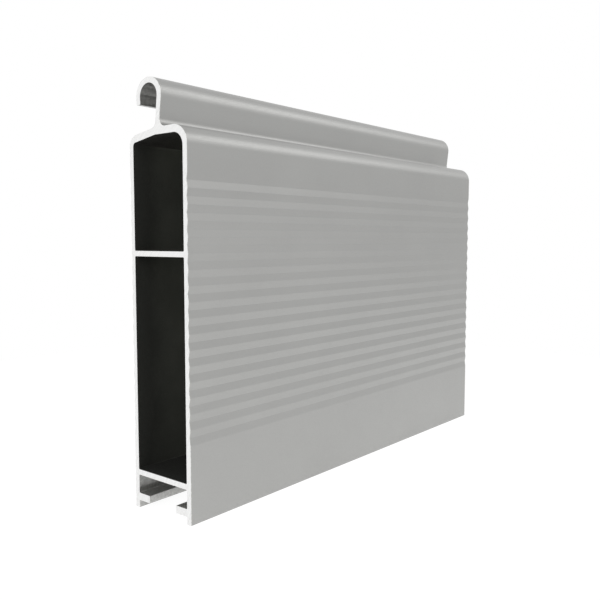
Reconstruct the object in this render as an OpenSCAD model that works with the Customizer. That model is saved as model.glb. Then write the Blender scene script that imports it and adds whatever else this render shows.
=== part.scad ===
// Roller shutter bottom slat: a short length of hollow extrusion, cut square at both ends.
// The section is drawn with its first axis running from the front face to the rear face
// and its second axis running up from the underside of the legs. It is then laid along X.
// The origin is in the middle of the footprint, with the front face towards -Y.

/* [Slat] */
// Length of the cut piece
slat_length = 150; // [60:5:1000]
// Thickness from front face to rear face
slat_thickness = 22; // [19:0.5:28]
// Height from the underside of the legs to the flat roof
body_height = 100.3; // [94:0.1:130]

/* [Walls] */
// Thickness of the front and rear walls
wall = 1.5; // [1:0.1:2.2]
// Thickness of the roof, measured straight up
roof_wall = 1.95; // [1.4:0.05:3]
// Thickness of the web over the seal channel
floor_web = 1.55; // [1:0.05:2.5]
// Thickness of the middle web
web = 1.5; // [1:0.1:2.5]
// Height of the middle web's underside above the legs' feet
middle_web_height = 67.7; // [40:0.1:75]
// Fillet where a web meets the walls of a chamber
web_fillet = 0.3; // [0.1:0.05:0.6]

/* [Roof] */
// Outer radius where the front face turns into the roof
shoulder_radius = 4.8; // [3.5:0.1:6]
// Radius of the chamber under that shoulder
shoulder_inner_radius = 3.3; // [2:0.1:5]
// Fall of the roof behind the hook, in degrees
roof_fall = 9.6; // [4:0.2:14]
// Outer radius where the rear face turns into the falling roof
rear_radius = 3; // [1.5:0.1:4]
// Radius of the chamber under that corner
rear_inner_radius = 1; // [0.5:0.1:2]

/* [Hook] */
// Distance of the hook's centre behind the front face
hook_setback = 14.2; // [12:0.1:15]
// Height of the hook's crown above the flat roof
hook_height = 12.7; // [11:0.1:16]
// Outer radius of the hook
hook_radius = 4.8; // [4:0.05:5.5]
// Thickness of the hook and of its stem
hook_wall = 1.5; // [1:0.05:2]
// Lean of the stem, back towards its root, in degrees
stem_lean = 6.5; // [2:0.5:9]
// Lean of the tip, in towards the stem, in degrees
tip_lean = 5; // [1:0.5:10]
// Drop from the hook's centre down to the tip's end
tip_drop = 1.85; // [1.6:0.05:3.5]
// Radius on the corners of the tip
tip_radius = 0.3; // [0.2:0.05:0.7]
// Fillet where the stem stands on the roof, in front and behind
root_fillet = 1.9; // [0.8:0.1:2.6]

/* [Grooves] */
// Number of grooves on each face
groove_count = 17; // [1:1:17]
// Height of one groove
groove_pitch = 4.01; // [2:0.01:4.1]
// Depth of a groove
groove_depth = 0.3; // [0.1:0.05:0.5]
// Distance from the flat roof down to the first groove
groove_drop = 11.6; // [8:0.05:14]

/* [Seal channel] */
// Height of the legs below the lips
leg_height = 2.05; // [1:0.05:4]
// Thickness of the two lips
lip_thickness = 2; // [1:0.1:3]
// Mouth between the two lips
lip_gap = 10.6; // [8:0.1:12]
// Clear height of the channel above the lips
channel_height = 5; // [4.5:0.1:8]
// Radius on the corners of the legs and lips
edge_radius = 0.1; // [0.1:0.05:0.4]

/* [Hidden] */
grey_coat = [0.68, 0.69, 0.67];

// A rounding is drawn with facets of about this length, and with no fewer than this many
facet_length = 0.4;
fewest_facets = 3;
// Share of the tip's thickness that each of its two roundings may take
rounding_share = 0.42;

inner_rear = slat_thickness - wall;
ceiling = body_height - roof_wall;
lip_top = leg_height + lip_thickness;
lip_reach = (slat_thickness - lip_gap) / 2;
channel_ceiling = lip_top + channel_height;
lower_floor = channel_ceiling + floor_web;
upper_floor = middle_web_height + web;
groove_top = body_height - groove_drop;

// Angles are counted from the rearward direction, turning upwards. The hook is a ring that
// runs on in a straight stem in front and in a short straight tip behind.
hook_centre = [hook_setback, body_height + hook_height - hook_radius];
hook_bore = hook_radius - hook_wall;
stem_angle = 180 + stem_lean;
stem_up = 90 + stem_lean;
tip_up = 90 - tip_lean;
tip_end = hook_centre[1] - tip_drop;
tip_rounding = min(tip_radius, rounding_share * hook_wall);

function along(angle, length) = length * [cos(angle), sin(angle)];
function on_ring(radius, angle) = hook_centre + along(angle, radius);

// Where the line through a point, at an angle, reaches a height
function at_height(point, angle, height) =
    [point[0] + (height - point[1]) / tan(angle), height];

// The front and rear faces of the stem where they reach the flat roof
stem_front = at_height(on_ring(hook_radius, stem_angle), stem_up, body_height);
stem_rear = at_height(on_ring(hook_bore, stem_angle), stem_up, body_height);

// Height of the falling roof at a distance behind the front face. It falls from the stem.
function roof_at(depth) = body_height - (depth - stem_rear[0]) * tan(roof_fall);

// Points of an arc from one angle to another
function arc(centre, radius, from, to) =
    let (
        arc_length = radius * abs(to - from) * PI / 180,
        facets = max(fewest_facets, ceil(arc_length / facet_length))
    )
    [for (i = [0 : facets]) centre + along(from + (to - from) * i / facets, radius)];

function flat(corner) = [corner[0], corner[1]];
function unit(direction) = direction / norm(direction);

// Points that round one corner of an outline. A corner is [across, up, radius], and
// the arc touches the two straight edges that meet in it.
function corner_points(before, corner, after) =
    corner[2] == 0 ? [flat(corner)] :
    let (
        back = unit(flat(before) - flat(corner)),
        ahead = unit(flat(after) - flat(corner)),
        half = acos(back * ahead) / 2,
        centre = flat(corner) + unit(back + ahead) * corner[2] / sin(half),
        start = flat(corner) + back * corner[2] / tan(half) - centre,
        from = atan2(start[1], start[0]),
        turn = sign(cross(ahead, back)) * (180 - 2 * half)
    )
    arc(centre, corner[2], from, from + turn);

// A closed outline with each corner rounded by its own radius
function rounded(corners) =
    let (count = len(corners))
    [
        for (i = [0 : count - 1])
            each corner_points(
                corners[(i + count - 1) % count],
                corners[i],
                corners[(i + 1) % count]
            )
    ];

// Points that are taken as they stand, as corners with no radius
function sharp(points) = [for (p = points) [p[0], p[1], 0]];
function with_radius(point, radius) = [point[0], point[1], radius];
function reversed(list) = [for (i = [len(list) - 1 : -1 : 0]) list[i]];

// The same corners as seen from the rear face, in the order that keeps an outline turning
// the same way
function from_rear(corners) =
    reversed([for (c = corners) [slat_thickness - c[0], c[1], c[2]]]);

// The zigzag of grooves down one face, with its crests level with the face
function grooves(face, inward) = [
    for (i = [0 : 2 * groove_count])
        [face + (i % 2) * inward * groove_depth, groove_top - i * groove_pitch / 2]
];

// The front leg from its outer corner, round its lip and up into the seal channel
front_leg = [
    [0, 0, edge_radius],
    [wall, 0, edge_radius],
    [wall, leg_height, web_fillet],
    [lip_reach, leg_height, edge_radius],
    [lip_reach, lip_top, edge_radius],
    [wall, lip_top, web_fillet],
    [wall, channel_ceiling, web_fillet]
];

// The hook from the back of the stem, round its bore to the tip and back over its crown
function hook_outline() =
    let (
        tip_inside = on_ring(hook_bore, -tip_lean),
        tip_outside = on_ring(hook_radius, -tip_lean)
    )
    concat(
        sharp(arc(hook_centre, hook_bore, stem_angle, -tip_lean)),
        [
            with_radius(at_height(tip_inside, tip_up, tip_end), tip_rounding),
            with_radius(at_height(tip_outside, tip_up, tip_end), tip_rounding)
        ],
        sharp(arc(hook_centre, hook_radius, -tip_lean, stem_angle))
    );

// The outline of the section, counter-clockwise from the front leg's outer corner
module outline() {
    polygon(rounded(concat(
        front_leg,
        from_rear(front_leg),
        sharp(reversed(grooves(slat_thickness, -1))),
        [
            [slat_thickness, roof_at(slat_thickness), rear_radius],
            with_radius(stem_rear, root_fillet)
        ],
        hook_outline(),
        [with_radius(stem_front, root_fillet), [0, body_height, shoulder_radius]],
        sharp(grooves(0, 1))
    )));
}

// Hollow between the middle web and the roof
module upper_chamber() {
    polygon(rounded([
        [wall, upper_floor, web_fillet],
        [inner_rear, upper_floor, web_fillet],
        [inner_rear, roof_at(inner_rear) - roof_wall, rear_inner_radius],
        [stem_rear[0], ceiling, 0],
        [wall, ceiling, shoulder_inner_radius]
    ]));
}

// Hollow between the two webs
module lower_chamber() {
    polygon(rounded([
        [wall, lower_floor, web_fillet],
        [inner_rear, lower_floor, web_fillet],
        [inner_rear, middle_web_height, web_fillet],
        [wall, middle_web_height, web_fillet]
    ]));
}

module slat_profile() {
    color(grey_coat)
        translate([-slat_length / 2, -slat_thickness / 2, 0])
            rotate([90, 0, 90])
                linear_extrude(height = slat_length)
                    difference() {
                        outline();
                        upper_chamber();
                        lower_chamber();
                    }
}

slat_profile();
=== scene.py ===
import math

import bpy
import numpy as np
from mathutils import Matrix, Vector
from mathutils.geometry import tessellate_polygon


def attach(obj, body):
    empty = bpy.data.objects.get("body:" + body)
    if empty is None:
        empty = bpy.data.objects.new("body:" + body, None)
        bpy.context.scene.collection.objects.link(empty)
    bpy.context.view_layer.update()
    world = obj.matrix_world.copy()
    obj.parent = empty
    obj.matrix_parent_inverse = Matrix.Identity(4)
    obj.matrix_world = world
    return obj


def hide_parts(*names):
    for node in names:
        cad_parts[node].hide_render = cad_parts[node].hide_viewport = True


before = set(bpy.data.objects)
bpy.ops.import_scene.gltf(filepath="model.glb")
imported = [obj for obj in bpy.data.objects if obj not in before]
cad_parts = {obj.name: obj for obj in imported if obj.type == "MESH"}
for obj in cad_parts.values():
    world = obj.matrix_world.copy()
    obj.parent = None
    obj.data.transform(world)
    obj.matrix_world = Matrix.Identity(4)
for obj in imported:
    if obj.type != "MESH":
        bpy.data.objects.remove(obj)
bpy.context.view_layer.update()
scene = bpy.context.scene
scene.view_settings.view_transform = "Standard"

cameraValues = {
    "place": (-0.19374, -0.14412, 0.07207),
    "turn": (85.217, -0.038, -50.566),  # degrees
    "lens": 43.204,  # millimetres
    "sensor": 36,  # its width in millimetres
    "nearest": 0.005,  # metres
}


def makeCamera(values):
    data = bpy.data.cameras.new("camera")
    data.sensor_width = values["sensor"]
    data.lens = values["lens"]
    data.clip_start = values["nearest"]
    camera = bpy.data.objects.new("camera", data)
    camera.location = values["place"]
    camera.rotation_euler = [math.radians(angle) for angle in values["turn"]]
    scene.collection.objects.link(camera)
    scene.camera = camera


makeCamera(cameraValues)
print("camera placed")


def addNode(tree, kind, place, **settings):
    node = tree.nodes.new(kind)
    node.location = place
    for name, value in settings.items():
        setattr(node, name, value)
    return node


def setInputs(node, values):
    for name, value in values.items():
        node.inputs[name].default_value = value


def addMath(tree, operation, place, *values):
    # A sum node whose inputs are each either a number or another node's output
    node = addNode(tree, "ShaderNodeMath", place, operation=operation)
    for socket, value in zip(node.inputs, values):
        if isinstance(value, (int, float)):
            socket.default_value = value
        else:
            tree.links.new(value, socket)
    return node.outputs[0]


def addGroup(tree, group, place, values):
    node = addNode(tree, "ShaderNodeGroup", place, node_tree=group)
    setInputs(node, values)
    return node


def newGroup(name, inputs, outputs):
    group = bpy.data.node_groups.new(name, "ShaderNodeTree")
    for direction, sockets in (("INPUT", inputs), ("OUTPUT", outputs)):
        for label, kind in sockets:
            group.interface.new_socket(label, in_out=direction, socket_type="NodeSocket" + kind)
    start = addNode(group, "NodeGroupInput", (-900, 0))
    end = addNode(group, "NodeGroupOutput", (700, 0))
    return group, start.outputs, end.inputs


# What the shared effects have in common. Noise runs from 0 to 1 and gathers round its middle.
effectValues = {
    "noiseMiddle": 0.5,
    "noiseReach": 0.25,  # nearly all of the noise is within this of its middle
    "lineStretch": 0.012,  # change of the die lines along the slat, against that across it
    "wearAndPaintedShadeEnd": 0.5,  # the band beside a cut, rubbed coat outside and painted shade in the chambers, ends at this share of its width
    "wearAndPaintedShadeSteepness": 2.5,  # and falls this fast towards that place
}


def makeDieLines():
    # Lines that the die draws along the length: noise that hardly changes with X
    group, start, end = newGroup(
        "dieLines", [("Vector", "Vector"), ("Scale", "Float")], [("Lines", "Float")]
    )
    stretch = addNode(group, "ShaderNodeMapping", (-600, 0))
    stretch.inputs["Scale"].default_value = (effectValues["lineStretch"], 1, 1)
    noise = addNode(group, "ShaderNodeTexNoise", (-300, 0))
    setInputs(noise, {"Detail": 3, "Roughness": 0.6})
    group.links.new(start["Vector"], stretch.inputs["Vector"])
    group.links.new(stretch.outputs[0], noise.inputs["Vector"])
    group.links.new(start["Scale"], noise.inputs["Scale"])
    group.links.new(noise.outputs["Fac"], end["Lines"])
    return group


def makeFineGrain():
    # Grain is the fine texture of the surface, Patches its slow drift in tone
    group, start, end = newGroup(
        "fineGrain",
        [("Vector", "Vector"), ("Grain Scale", "Float"), ("Patch Scale", "Float")],
        [("Grain", "Float"), ("Patches", "Float")],
    )
    for row, (scale, output, detail) in enumerate(
        (("Grain Scale", "Grain", 2), ("Patch Scale", "Patches", 4))
    ):
        noise = addNode(group, "ShaderNodeTexNoise", (-300, -300 * row))
        setInputs(noise, {"Detail": detail, "Roughness": 0.55})
        group.links.new(start["Vector"], noise.inputs["Vector"])
        group.links.new(start[scale], noise.inputs["Scale"])
        group.links.new(noise.outputs["Fac"], end[output])
    return group


def makeCutWear():
    # Mask of the band beside a cut end, which is the coat rubbed to bare metal outside and painted
    # shade in the chambers: full at the edge and gone halfway through Width. Noise of the given
    # Scale moves its border in and out, as far as Raggedness says, from 0 to 1. The mask is
    # steepness * (end - distance / Width + (noise - middle) * Raggedness).
    group, start, end = newGroup(
        "cutWearAndPaintedShade",
        [
            ("Vector", "Vector"),
            ("Half Length", "Float"),
            ("Width", "Float"),
            ("Scale", "Float"),
            ("Raggedness", "Float"),
        ],
        [("WearAndPaintedShade", "Float")],
    )
    middle, steepness = effectValues["noiseMiddle"], effectValues["wearAndPaintedShadeSteepness"]
    parts = addNode(group, "ShaderNodeSeparateXYZ", (-700, 100))
    noise = addNode(group, "ShaderNodeTexNoise", (-700, -150))
    setInputs(noise, {"Detail": 3, "Roughness": 0.6})
    group.links.new(start["Vector"], parts.inputs[0])
    group.links.new(start["Vector"], noise.inputs["Vector"])
    group.links.new(start["Scale"], noise.inputs["Scale"])
    fromMiddle = addMath(group, "ABSOLUTE", (-520, 100), parts.outputs["X"])
    fromEnd = addMath(group, "SUBTRACT", (-340, 100), start["Half Length"], fromMiddle)
    share = addMath(group, "DIVIDE", (-160, 100), fromEnd, start["Width"])
    fall = addMath(group, "SUBTRACT", (20, 100), effectValues["wearAndPaintedShadeEnd"], share)
    swing = addMath(group, "SUBTRACT", (-340, -150), noise.outputs["Fac"], middle)
    ragged = addMath(group, "MULTIPLY_ADD", (200, 0), swing, start["Raggedness"], fall)
    mask = addMath(group, "MULTIPLY", (400, 0), ragged, steepness)
    mask.node.use_clamp = True
    group.links.new(mask, end["WearAndPaintedShade"])
    return group


dieLines = makeDieLines()
fineGrain = makeFineGrain()
cutWearAndPaintedShade = makeCutWear()
print("shared effects built")

# Depths and widths are in metres, and a larger scale makes finer marks
coatValues = {
    "color": (0.345, 0.345, 0.337),
    "wornAndPaintedShadeColor": (0.6, 0.6, 0.58),
    "metallic": 1,
    "roughness": 0.4,
    "roughnessDrift": 0.06,
    "toneDrift": 0.02,
    "patchScale": 60,
    "grainScale": 2600,
    "grainDepth": 0.000015,
    "lineScale": 900,
    "lineDepth": 0.00002,
    "wearAndPaintedShadeWidth": 0.0005,
    "wearAndPaintedShadeScale": 1400,
    "wearAndPaintedShadeRaggedness": 1,
}

# Where the floor seal slides, the coat is rubbed through to the metal; its lighter colour is also
# painted light in the shaded seal channel
rubbedAndPaintedLightValues = {
    **coatValues,
    "color": (0.5, 0.5, 0.488),
    "roughness": 0.36,
    "toneDrift": 0.22,
    "patchScale": 1500,
    "lineDepth": 0.00005,
}

# The slat hangs from the one above by the inside of its hook's crown, which is rubbed; its far
# lighter colour is painted light inside the shaded bore
boreValues = {
    **rubbedAndPaintedLightValues,
    "color": (0.62, 0.62, 0.605),
}

# Inside the hook's tip and between the legs the coat is only scuffed; its lighter colour is also
# painted light in these shaded recesses
scuffedAndPaintedLightValues = {
    **rubbedAndPaintedLightValues,
    "color": (0.42, 0.42, 0.41),
}

# The chamber walls are painted dark, as painted shade inside the hollow chambers. Beside the cut,
# where light comes in, and on the floors they are painted darker still, as painted shade. Close
# under a ceiling they are painted lighter, as painted light, and far below it darker, as painted
# shade. All distances are in metres, and those of the painted light and shade are counted down
# from the ceiling.
chamberValues = {
    **coatValues,
    "color": (0.085, 0.089, 0.0735),
    "wornAndPaintedShadeColor": (0.0135, 0.0142, 0.0115),
    "metallic": 0,
    "roughness": 0.6,
    "roughnessDrift": 0.1,
    "toneDrift": 0.1,
    "grainScale": 2000,
    "lineScale": 500,
    "lineDepth": 0.00005,
    "wearAndPaintedShadeWidth": 0.05,
    "wearAndPaintedShadeScale": 90,
    "wearAndPaintedShadeRaggedness": 0.15,
    "paintedLightReach": 0.016,  # the lighter part ends here
    "paintedLightLift": 1.7,  # share by which the wall is painted lighter right under the ceiling, as painted light
    "paintedLightStart": 0.017,  # the lighter part begins halfway through this, from the cut end
    "paintedShadeFrom": 0.038,  # the darker part begins here
    "paintedShadeTo": 0.057,  # and is darkest here
    "paintedShadeDrop": 0.28,  # share by which it is painted darker there, as painted shade
}

# The ceilings are painted dark as well, as painted shade, a little lighter than the walls and with
# no painted light under them
ceilingValues = {
    **chamberValues,
    "color": (0.09, 0.0875, 0.073),
    "wornAndPaintedShadeColor": (0.0175, 0.017, 0.0143),
    "paintedLightLift": 0,
}

# The floors are painted darker still, as painted shade
paintedShadeFloorValues = {
    **chamberValues,
    "color": (0.017, 0.0178, 0.0148),
    "wornAndPaintedShadeColor": (0.009, 0.0095, 0.0079),
}

cutValues = {
    "color": (0.805, 0.805, 0.8),
    "metallic": 0.1,
    "roughness": 0.55,
    "roughnessDrift": 0.06,
    "toneDrift": 0.04,
    "bladeCentre": (0, -0.11, -0.03),  # the saw's arcs run round this point
    "ringScale": 1900,
    "ringDepth": 0.00004,
    "grainScale": 5200,
}

# The finishes in the order of the slat's material slots
finishes = {
    "greyCoat": coatValues,
    "sawnEnd": cutValues,
    "chamberWall": chamberValues,
    "rubbedAndPaintedLightCoat": rubbedAndPaintedLightValues,
    "paintedShadeFloor": paintedShadeFloorValues,
    "boreCoat": boreValues,
    "scuffedAndPaintedLightCoat": scuffedAndPaintedLightValues,
    "chamberCeiling": ceilingValues,
}
slotOf = {name: number for number, name in enumerate(finishes)}


def newMaterial(name, values):
    material = bpy.data.materials.new(name)
    material.use_nodes = True
    tree = material.node_tree
    shader = tree.nodes["Principled BSDF"]
    shader.inputs["Metallic"].default_value = values["metallic"]
    where = addNode(tree, "ShaderNodeTexCoord", (-1500, 0)).outputs["Object"]
    return material, tree, shader, where


def addTone(tree, place, color, mask, drift):
    # The colour, made darker or lighter by a mask that runs from 0 to 1
    ends = addNode(tree, "ShaderNodeMix", place, data_type="RGBA")
    ends.inputs["A"].default_value = (*[c * (1 - drift) for c in color], 1)
    ends.inputs["B"].default_value = (*[c * (1 + drift) for c in color], 1)
    tree.links.new(mask, ends.inputs["Factor"])
    return ends.outputs["Result"]


def addRange(tree, place, noise, low, high):
    # The part of its range that the noise fills is spread over the whole result
    middle, reach = effectValues["noiseMiddle"], effectValues["noiseReach"]
    spread = addNode(tree, "ShaderNodeMapRange", place)
    setInputs(spread, {"From Min": middle - reach, "From Max": middle + reach})
    setInputs(spread, {"To Min": low, "To Max": high})
    tree.links.new(noise, spread.inputs["Value"])
    return spread.outputs[0]


def addRoughness(tree, place, grain, shader, values):
    middle, drift = values["roughness"], values["roughnessDrift"]
    rough = addRange(tree, place, grain, middle - drift, middle + drift)
    tree.links.new(rough, shader.inputs["Roughness"])


def addBump(tree, place, height, distance, before=None):
    bump = addNode(tree, "ShaderNodeBump", place)
    setInputs(bump, {"Distance": distance, "Strength": 1})
    tree.links.new(height, bump.inputs["Height"])
    if before:
        tree.links.new(before, bump.inputs["Normal"])
    return bump.outputs[0]


def addPaintedLightAndShade(tree, color, where, band, values):
    # The colour times 1 + lift - drop: the lift is painted light, which falls with the square of
    # the distance under the ceiling and fades out beside the cut, and the drop is painted shade,
    # which grows evenly down the lower part of the wall
    under = addNode(tree, "ShaderNodeAttribute", (-900, 900), attribute_name="underCeiling")
    near = addNode(tree, "ShaderNodeMapRange", (-700, 900))
    setInputs(near, {"From Max": values["paintedLightReach"], "To Min": 1, "To Max": 0})
    low = addNode(tree, "ShaderNodeMapRange", (-700, 600))
    setInputs(low, {"From Min": values["paintedShadeFrom"], "From Max": values["paintedShadeTo"]})
    for part in (near, low):
        tree.links.new(under.outputs["Fac"], part.inputs["Value"])
    besideCut = addGroup(tree, cutWearAndPaintedShade, (-900, 1200), band)
    tree.links.new(where, besideCut.inputs["Vector"])
    squared = addMath(tree, "POWER", (-500, 900), near.outputs[0], 2)
    inside = addMath(tree, "SUBTRACT", (-500, 1200), 1, besideCut.outputs["WearAndPaintedShade"])
    lift = addMath(tree, "MULTIPLY", (-300, 1000), squared, inside)
    risen = addMath(tree, "MULTIPLY_ADD", (-100, 1000), lift, values["paintedLightLift"], 1)
    share = addMath(tree, "MULTIPLY_ADD", (100, 900), low.outputs[0], -values["paintedShadeDrop"], risen)
    scaled = addNode(tree, "ShaderNodeVectorMath", (300, 600), operation="SCALE")
    tree.links.new(color, scaled.inputs[0])
    tree.links.new(share, scaled.inputs["Scale"])
    return scaled.outputs[0]


def makeDrawnFinish(name, values):
    # A finish of the faces that run along the slat: grain, die lines, and a band beside the cut
    # ends, which is the coat rubbed to bare metal outside and painted shade in the chambers, whose
    # walls also get painted light and shade down from the ceiling
    material, tree, shader, where = newMaterial(name, values)
    scales = {"Grain Scale": values["grainScale"], "Patch Scale": values["patchScale"]}
    grain = addGroup(tree, fineGrain, (-1200, 200), scales)
    lines = addGroup(tree, dieLines, (-1200, -50), {"Scale": values["lineScale"]})
    band = {
        "Half Length": slat["length"] / 2 / perMetre,
        "Width": values["wearAndPaintedShadeWidth"],
        "Scale": values["wearAndPaintedShadeScale"],
        "Raggedness": values["wearAndPaintedShadeRaggedness"],
    }
    wearAndPaintedShade = addGroup(tree, cutWearAndPaintedShade, (-1200, -250), band)
    for node in (grain, lines, wearAndPaintedShade):
        tree.links.new(where, node.inputs["Vector"])
    patches = addRange(tree, (-900, 300), grain.outputs["Patches"], 0, 1)
    tone = addTone(tree, (-650, 300), values["color"], patches, values["toneDrift"])
    wornAndPaintedShade = addNode(tree, "ShaderNodeMix", (-400, 300), data_type="RGBA")
    wornAndPaintedShade.inputs["B"].default_value = (*values["wornAndPaintedShadeColor"], 1)
    tree.links.new(wearAndPaintedShade.outputs["WearAndPaintedShade"], wornAndPaintedShade.inputs["Factor"])
    tree.links.new(tone, wornAndPaintedShade.inputs["A"])
    color = wornAndPaintedShade.outputs["Result"]
    # Painted light under the ceilings and painted shade lower down, in the chambers only
    if "paintedLightLift" in values:
        color = addPaintedLightAndShade(tree, color, where, {**band, "Width": values["paintedLightStart"]}, values)
    tree.links.new(color, shader.inputs["Base Color"])
    fine = grain.outputs["Grain"]
    addRoughness(tree, (-650, 50), fine, shader, values)
    drawn = addBump(tree, (-650, -200), lines.outputs["Lines"], values["lineDepth"])
    pebbled = addBump(tree, (-400, -200), fine, values["grainDepth"], drawn)
    tree.links.new(pebbled, shader.inputs["Normal"])
    return material


def makeSawnEnd(name, values):
    # The blade's teeth leave arcs, so the marks change with the distance from its centre
    material, tree, shader, where = newMaterial(name, values)
    reach = addNode(tree, "ShaderNodeVectorMath", (-1200, -100), operation="DISTANCE")
    reach.inputs[1].default_value = values["bladeCentre"]
    tree.links.new(where, reach.inputs[0])
    rings = addNode(tree, "ShaderNodeTexNoise", (-900, -100), noise_dimensions="1D")
    setInputs(rings, {"Scale": values["ringScale"], "Detail": 2})
    tree.links.new(reach.outputs["Value"], rings.inputs["W"])
    grain = addGroup(tree, fineGrain, (-1200, 200), {"Grain Scale": values["grainScale"]})
    tree.links.new(where, grain.inputs["Vector"])
    marks = addRange(tree, (-650, 100), rings.outputs["Fac"], 0, 1)
    tone = addTone(tree, (-400, 300), values["color"], marks, values["toneDrift"])
    tree.links.new(tone, shader.inputs["Base Color"])
    addRoughness(tree, (-400, 50), grain.outputs["Grain"], shader, values)
    sawn = addBump(tree, (-400, -200), rings.outputs["Fac"], values["ringDepth"])
    tree.links.new(sawn, shader.inputs["Normal"])
    return material


# Millimetres and degrees. The section's first axis runs from the front face to the rear face,
# its second up from the feet.
slat = {
    "length": 150,
    "thickness": 22,
    "bodyHeight": 100.3,
    "wall": 1.5,
    "roofWall": 1.95,
    "floorWeb": 1.55,
    "web": 1.5,
    "middleWebHeight": 67.7,
    "webFillet": 0.3,
    "shoulderRadius": 4.8,
    "shoulderInnerRadius": 3.3,
    "roofFall": 9.6,
    "rearRadius": 3,
    "rearInnerRadius": 1,
    "hookSetback": 14.2,
    "hookHeight": 12.7,
    "hookRadius": 4.8,
    "hookWall": 1.5,
    "stemLean": 6.5,
    "tipLean": 5,
    "tipDrop": 1.85,
    "tipRadius": 0.3,
    "rootFillet": 1.9,
    "rubbedAndPaintedLightAbove": 0.9,  # the bore is rubbed, and painted lighter as painted light, from this far above the hook's centre upwards
    "grooveCount": 17,
    "groovePitch": 4.01,
    "grooveDepth": 0.3,
    "grooveDrop": 11.6,
    "grooveRadius": 0.4,
    "legHeight": 2.05,
    "lipThickness": 2,
    "lipGap": 10.6,
    "channelHeight": 5,
    "edgeRadius": 0.1,
    "arcStep": 5,  # turn from one point of a rounding to the next
    "fewestSteps": 3,  # in a rounding
    "cutBreak": 0.05,  # the burr taken off round both cut ends
    "stations": 17,  # sections along the length
}
perMetre = 1000

# The middle of the ring that the hook is bent to
hookCentre = np.array(
    [slat["hookSetback"], slat["bodyHeight"] + slat["hookHeight"] - slat["hookRadius"]]
)


def unit(direction):
    return direction / np.linalg.norm(direction)


def arcRun(centre, radius, start, end):
    # Points on a circle from one angle to another. The normals stand square to the path on its
    # right-hand side: outwards where it turns left, inwards where it turns right.
    turns = abs(end - start) / math.radians(slat["arcStep"])
    steps = max(slat["fewestSteps"], math.ceil(turns))
    angles = np.linspace(start, end, steps + 1)
    spokes = np.stack([np.cos(angles), np.sin(angles)], axis=1)
    return centre + radius * spokes, np.sign(end - start) * spokes


def cornerRun(before, corner, after):
    # A corner is (across, up, radius). Its arc touches both straight lines that meet in it.
    here = np.array(corner[:2], float)
    if corner[2] == 0:
        return here[None, :], None
    back = unit(np.array(before[:2]) - here)
    ahead = unit(np.array(after[:2]) - here)
    half = math.acos(np.dot(back, ahead)) / 2
    centre = here + unit(back + ahead) * corner[2] / math.sin(half)
    start = here + back * corner[2] / math.tan(half) - centre
    first = math.atan2(start[1], start[0])
    side = np.sign(ahead[0] * back[1] - ahead[1] * back[0])
    return arcRun(centre, corner[2], first, first + side * (math.pi - 2 * half))


def joinRuns(parts):
    # Parts are corners, or whole runs of points and normals. The result is one closed loop: its
    # points, and for the line from each point to the next the normals at its two ends.
    def isCorner(part):
        return len(part) == 3

    def edgePoint(part, last):
        return part if isCorner(part) else part[0][-1 if last else 0]

    count = len(parts)
    runs = []
    for i, part in enumerate(parts):
        if isCorner(part):
            before, after = parts[i - 1], parts[(i + 1) % count]
            part = cornerRun(edgePoint(before, True), part, edgePoint(after, False))
        runs.append(part)
    points = np.concatenate([run[0] for run in runs])
    ahead = np.roll(points, -1, axis=0) - points
    ahead /= np.linalg.norm(ahead, axis=1, keepdims=True)
    startNormals = np.stack([ahead[:, 1], -ahead[:, 0]], axis=1)
    endNormals = startNormals.copy()
    first = 0
    for run, normals in runs:
        last = first + len(run) - 1
        if normals is not None:
            startNormals[first:last] = normals[:-1]
            endNormals[first:last] = normals[1:]
        first = last + 1
    return points, startNormals, endNormals


def fromRear(corners):
    # The same corners on the rear face, in the order that keeps the outline turning left
    return [(slat["thickness"] - c[0], c[1], c[2]) for c in reversed(corners)]


def atHeight(point, angle, height):
    # Where the line through a point, at an angle, reaches a height
    return np.array([point[0] + (height - point[1]) / math.tan(angle), height])


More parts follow.
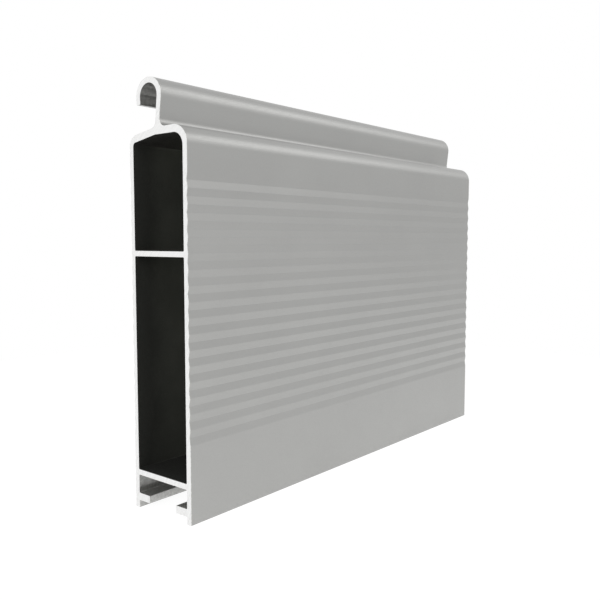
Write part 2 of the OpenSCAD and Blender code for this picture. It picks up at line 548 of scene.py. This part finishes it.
def makeSection():
    # Three closed loops of corners and arcs: the outline, turning left from the front leg's outer
    # corner, and the two chambers. The hook is a ring that runs on in a straight stem and a
    # straight tip, and both lines touch it where the spokes to its centre stand square to them.
    s = slat
    rear = s["thickness"]
    innerRear = rear - s["wall"]
    lipTop = s["legHeight"] + s["lipThickness"]
    lipReach = (s["thickness"] - s["lipGap"]) / 2
    channelTop = lipTop + s["channelHeight"]
    grooveTop = s["bodyHeight"] - s["grooveDrop"]
    bore = s["hookRadius"] - s["hookWall"]
    lean = math.radians(s["stemLean"])
    tip = math.radians(s["tipLean"])
    stemAngle = math.pi + lean
    spoke = np.array([math.cos(stemAngle), math.sin(stemAngle)])
    stemFront = atHeight(hookCentre + s["hookRadius"] * spoke, math.pi / 2 + lean, s["bodyHeight"])
    stemRear = atHeight(hookCentre + bore * spoke, math.pi / 2 + lean, s["bodyHeight"])
    tipSpoke = np.array([math.cos(tip), -math.sin(tip)])
    tipEnd = hookCentre[1] - s["tipDrop"]
    tipInside = atHeight(hookCentre + bore * tipSpoke, math.pi / 2 - tip, tipEnd)
    tipOutside = atHeight(hookCentre + s["hookRadius"] * tipSpoke, math.pi / 2 - tip, tipEnd)

    def roofAt(depth):
        # The roof falls from the back of the stem by the tangent of its angle
        return s["bodyHeight"] - (depth - stemRear[0]) * math.tan(math.radians(s["roofFall"]))

    def grooves(face, inward):
        # A zigzag down the face, half a pitch a step, with its crests level with the face
        return [
            (
                face + (i % 2) * inward * s["grooveDepth"],
                grooveTop - i * s["groovePitch"] / 2,
                s["grooveRadius"],
            )
            for i in range(2 * s["grooveCount"] + 1)
        ]

    frontLeg = [
        (0, 0, s["edgeRadius"]),
        (s["wall"], 0, s["edgeRadius"]),
        (s["wall"], s["legHeight"], s["webFillet"]),
        (lipReach, s["legHeight"], s["edgeRadius"]),
        (lipReach, lipTop, s["edgeRadius"]),
        (s["wall"], lipTop, s["webFillet"]),
        (s["wall"], channelTop, s["webFillet"]),
    ]
    outline = joinRuns(
        [
            *frontLeg,
            *fromRear(frontLeg),
            *reversed(grooves(rear, -1)),
            (rear, roofAt(rear), s["rearRadius"]),
            (*stemRear, s["rootFillet"]),
            arcRun(hookCentre, bore, stemAngle, -tip),
            (*tipInside, s["tipRadius"]),
            (*tipOutside, s["tipRadius"]),
            arcRun(hookCentre, s["hookRadius"], -tip, stemAngle),
            (*stemFront, s["rootFillet"]),
            (0, s["bodyHeight"], s["shoulderRadius"]),
            *grooves(0, 1),
        ]
    )
    ceiling = s["bodyHeight"] - s["roofWall"]
    upperFloor = s["middleWebHeight"] + s["web"]
    lowerFloor = channelTop + s["floorWeb"]
    # The chambers turn the other way, so that the metal is on the left of their paths too
    upper = joinRuns(
        [
            (s["wall"], ceiling, s["shoulderInnerRadius"]),
            (stemRear[0], ceiling, 0),
            (innerRear, roofAt(innerRear) - s["roofWall"], s["rearInnerRadius"]),
            (innerRear, upperFloor, s["webFillet"]),
            (s["wall"], upperFloor, s["webFillet"]),
        ]
    )
    lower = joinRuns(
        [
            (s["wall"], s["middleWebHeight"], s["webFillet"]),
            (innerRear, s["middleWebHeight"], s["webFillet"]),
            (innerRear, lowerFloor, s["webFillet"]),
            (s["wall"], lowerFloor, s["webFillet"]),
        ]
    )
    return [outline, upper, lower]


def drawnBack(points, startNormals, endNormals, amount):
    # Each point moves into the metal, along the middle of its two normals, so that every line
    # ends up the given amount behind where it was
    before = np.roll(endNormals, 1, axis=0)
    middle = before + startNormals
    middle /= np.linalg.norm(middle, axis=1, keepdims=True)
    reach = amount / np.sum(middle * startNormals, axis=1, keepdims=True)
    return points - middle * reach


# How the lines of the section are told apart when they get their finishes
sortingValues = {
    "slack": 0.01,  # millimetres that a line may stray over a limit
    "levelNormal": 0.7,  # a floor's or ceiling's normal stands at least this far up or down
}


def outlineSlots(points):
    # The coat is rubbed inside the seal channel, bright under the crown of the hook, and scuffed
    # on the inside of its tip and between the legs; these lighter coats are also painted light in
    # the shaded recesses
    slack = sortingValues["slack"]
    middles = (points + np.roll(points, -1, axis=0)) / 2
    across, up = middles[:, 0], middles[:, 1]
    channelTop = slat["legHeight"] + slat["lipThickness"] + slat["channelHeight"]
    inChannel = (up < channelTop + slack) & (across > slat["wall"] - slack)
    inChannel &= across < slat["thickness"] - slat["wall"] + slack
    betweenLegs = inChannel & (up < slat["legHeight"] + slack)
    fromHook = np.hypot(across - hookCentre[0], up - hookCentre[1])
    inHook = fromHook < slat["hookRadius"] - slat["hookWall"] / 2
    underCrown = inHook & (up > hookCentre[1] + slat["rubbedAndPaintedLightAbove"])
    inTip = inHook & (across > hookCentre[0])
    return np.select(
        [underCrown, betweenLegs | inTip, inChannel],
        [slotOf["boreCoat"], slotOf["scuffedAndPaintedLightCoat"], slotOf["rubbedAndPaintedLightCoat"]],
        slotOf["greyCoat"],
    )


def chamberSlots(normals):
    # Lines that look up are the floor, lines that look down the ceiling, all others are walls
    facing, level = normals[:, 1], sortingValues["levelNormal"]
    return np.select(
        [facing > level, facing < -level],
        [slotOf["paintedShadeFloor"], slotOf["chamberCeiling"]],
        slotOf["chamberWall"],
    )


def fillCuts(cuts):
    # Triangles between the outline and the chambers, all turning left. Their corners are numbers
    # of points, counted on from loop to loop.
    filled = np.array(tessellate_polygon([[Vector((0, y, z)) for y, z in cut] for cut in cuts]))
    flat = np.concatenate(cuts)
    a, b, c = flat[filled[:, 0]], flat[filled[:, 1]], flat[filled[:, 2]]
    area = (b[:, 0] - a[:, 0]) * (c[:, 1] - a[:, 1]) - (b[:, 1] - a[:, 1]) * (c[:, 0] - a[:, 0])
    filled[area < 0] = filled[area < 0][:, ::-1]
    return filled


def makeSlat():
    # Each loop of the section is carried along X, so a vertex is (station, loop point). The inner
    # stations hold the loop itself, the two outermost hold it drawn back by the broken edge.
    half, cutBreak = slat["length"] / 2, slat["cutBreak"]
    inner = np.linspace(cutBreak - half, half - cutBreak, slat["stations"])
    stations = np.concatenate([[-half], inner, [half]])
    lastRow = len(stations) - 2
    vertices, underTop, quads, normals, slots = [], [], [], [], []
    cuts, leftCut, rightCut = [], [], []
    total = 0
    for number, (points, startNormals, endNormals) in enumerate(makeSection()):
        count = len(points)
        cut = drawnBack(points, startNormals, endNormals, cutBreak)
        rows = np.repeat(points[None], len(stations), axis=0)
        rows[[0, -1]] = cut
        along = np.repeat(stations[:, None, None], count, axis=1)
        vertices.append(np.concatenate([along, rows], axis=2).reshape(-1, 3))
        underTop.append((points[:, 1].max() - rows[:, :, 1]).ravel() / perMetre)
        row, point = np.meshgrid(np.arange(lastRow + 1), np.arange(count), indexing="ij")
        row, point = row.ravel(), point.ravel()
        here, after = row * count + point, row * count + (point + 1) % count
        quads.append(total + np.stack([here, after, after + count, here + count], axis=1))
        atStart = np.pad(startNormals[point], ((0, 0), (1, 0)))
        atEnd = np.pad(endNormals[point], ((0, 0), (1, 0)))
        around = np.stack([atStart, atEnd, atEnd, atStart], axis=1)
        around[row == 0, :2] = (-1, 0, 0)
        around[row == lastRow, 2:] = (1, 0, 0)
        normals.append(around.reshape(-1, 3))
        if number == 0:
            # The saw leaves the outer broken edge bare, and those of the chambers take the
            # chambers' painted shade
            onEdge = (row == 0) | (row == lastRow)
            slots.append(np.where(onEdge, slotOf["sawnEnd"], outlineSlots(points)[point]))
        else:
            slots.append(chamberSlots(startNormals)[point])
        cuts.append(cut)
        leftCut.append(total + np.arange(count))
        rightCut.append(total + (lastRow + 1) * count + np.arange(count))
        total += count * len(stations)
    filled = fillCuts(cuts)
    left, right = np.concatenate(leftCut)[filled][:, ::-1], np.concatenate(rightCut)[filled]
    triangles = np.concatenate([left, right])
    capNormals = np.zeros((triangles.size, 3))
    capNormals[: left.size, 0] = -1
    capNormals[left.size :, 0] = 1
    skin = makeMesh(
        "slatSkin",
        (np.concatenate(vertices) - (0, slat["thickness"] / 2, 0)) / perMetre,
        np.concatenate(quads),
        triangles,
        np.concatenate([*normals, capNormals]),
        np.concatenate([*slots, np.full(len(triangles), slotOf["sawnEnd"])]),
    )
    # How far each point is below the top of its loop, which is the ceiling of a chamber
    under = skin.data.attributes.new("underCeiling", "FLOAT", "POINT")
    under.data.foreach_set("value", np.concatenate(underTop))
    return skin


def makeMesh(name, points, quads, triangles, normals, slots):
    # The quads come first, then the triangles. There is a normal for each corner of each face.
    mesh = bpy.data.meshes.new(name)
    corners = np.concatenate([quads.ravel(), triangles.ravel()])
    mesh.vertices.add(len(points))
    mesh.vertices.foreach_set("co", points.ravel())
    mesh.loops.add(len(corners))
    mesh.loops.foreach_set("vertex_index", corners.astype(np.int32))
    quadStarts = 4 * np.arange(len(quads))
    triangleStarts = quads.size + 3 * np.arange(len(triangles))
    starts = np.concatenate([quadStarts, triangleStarts])
    mesh.polygons.add(len(starts))
    mesh.polygons.foreach_set("loop_start", starts.astype(np.int32))
    mesh.polygons.foreach_set("material_index", slots.astype(np.int32))
    mesh.update(calc_edges=True)
    mesh.shade_smooth()
    mesh.normals_split_custom_set(normals.tolist())
    thing = bpy.data.objects.new(name, mesh)
    scene.collection.objects.link(thing)
    return thing


slatSkin = makeSlat()
for name, values in finishes.items():
    makeFinish = makeSawnEnd if name == "sawnEnd" else makeDrawnFinish
    slatSkin.data.materials.append(makeFinish(name, values))
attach(slatSkin, "root")
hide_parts("slat_profile")
print("slat made,", len(slatSkin.data.polygons), "faces")

floorValues = {
    "color": (0.82, 0.82, 0.82),
    "roughness": 0.9,
    "half": 0.26,
    "below": 0.00002,  # the feet stand this far above it
    "whiteAdded": 0.63,  # only as the camera, reflections and glass see it
    "whiteShare": 0.85,  # of plain white in what the camera sees; the rest keeps the shadow
}

roomValues = {
    "level": 0.5,
    "color": (1, 1, 1),
}

# A lamp at level 1 lights a white surface that faces it, where it aims, up to white
lampValues = {
    "keyLamp": {"place": (0.78, -0.62, 0.75), "aim": (0, 0, 0.055), "size": 0.65, "level": 0.09},
    "sideLamp": {"place": (-1.05, -0.46, 0.62), "aim": (0, 0, 0.055), "size": 1.6, "level": 0.78},
}


def seenRays(tree, place):
    # One for what the camera, reflections and glass see, nothing for what lights the object
    path = addNode(tree, "ShaderNodeLightPath", place)
    camera, glossy = path.outputs["Is Camera Ray"], path.outputs["Is Glossy Ray"]
    both = addMath(tree, "MAXIMUM", (place[0] + 200, place[1]), camera, glossy)
    through = path.outputs["Is Transmission Ray"]
    return addMath(tree, "MAXIMUM", (place[0] + 400, place[1]), both, through)


def makeFloor(values):
    # Plain white lies over the lit floor in what the camera sees, and lets the shadow show through
    half, low = values["half"], -values["below"]
    mesh = bpy.data.meshes.new("floor")
    corners = [(-half, -half, low), (half, -half, low), (half, half, low), (-half, half, low)]
    mesh.from_pydata(corners, [], [(0, 1, 2, 3)])
    floor = bpy.data.objects.new("floor", mesh)
    scene.collection.objects.link(floor)
    material = bpy.data.materials.new("paleFloor")
    material.use_nodes = True
    tree = material.node_tree
    shader = tree.nodes["Principled BSDF"]
    setInputs(shader, {"Base Color": (*values["color"], 1), "Roughness": values["roughness"]})
    setInputs(shader, {"Specular IOR Level": 0, "Emission Color": (1, 1, 1, 1)})
    seen = seenRays(tree, (-900, -300))
    added = addMath(tree, "MULTIPLY", (-300, -300), seen, values["whiteAdded"])
    tree.links.new(added, shader.inputs["Emission Strength"])
    white = addNode(tree, "ShaderNodeEmission", (0, -600))
    setInputs(white, {"Color": (1, 1, 1, 1), "Strength": 1})
    camera = addNode(tree, "ShaderNodeLightPath", (-500, 500)).outputs["Is Camera Ray"]
    mix = addNode(tree, "ShaderNodeMixShader", (400, 0))
    share = addMath(tree, "MULTIPLY", (0, 400), camera, values["whiteShare"])
    tree.links.new(share, mix.inputs[0])
    tree.links.new(shader.outputs[0], mix.inputs[1])
    tree.links.new(white.outputs[0], mix.inputs[2])
    tree.links.new(mix.outputs[0], tree.nodes["Material Output"].inputs["Surface"])
    mesh.materials.append(material)


def makeRoom(values):
    world = bpy.data.worlds.new("room")
    world.use_nodes = True
    scene.world = world
    tree = world.node_tree
    light = tree.nodes["Background"]
    setInputs(light, {"Color": (*values["color"], 1), "Strength": values["level"]})
    white = addNode(tree, "ShaderNodeBackground", (-100, -200))
    setInputs(white, {"Color": (1, 1, 1, 1), "Strength": 1})
    mix = addNode(tree, "ShaderNodeMixShader", (200, 0))
    tree.links.new(seenRays(tree, (-700, 200)), mix.inputs[0])
    tree.links.new(light.outputs[0], mix.inputs[1])
    tree.links.new(white.outputs[0], mix.inputs[2])
    tree.links.new(mix.outputs[0], tree.nodes["World Output"].inputs["Surface"])


def makeLamp(name, values):
    # The energy grows with the square of the distance, so a lamp that is moved keeps its level
    place, aim = Vector(values["place"]), Vector(values["aim"])
    away = place - aim
    data = bpy.data.lights.new(name, "AREA")
    data.shape = "DISK"
    data.size = values["size"]
    data.energy = values["level"] * (math.pi * away.length) ** 2
    lamp = bpy.data.objects.new(name, data)
    lamp.location = place
    lamp.rotation_euler = away.to_track_quat("Z", "Y").to_euler()
    scene.collection.objects.link(lamp)


makeFloor(floorValues)
makeRoom(roomValues)
for lampName, lamp in lampValues.items():
    makeLamp(lampName, lamp)
print("floor, room and lamps set")
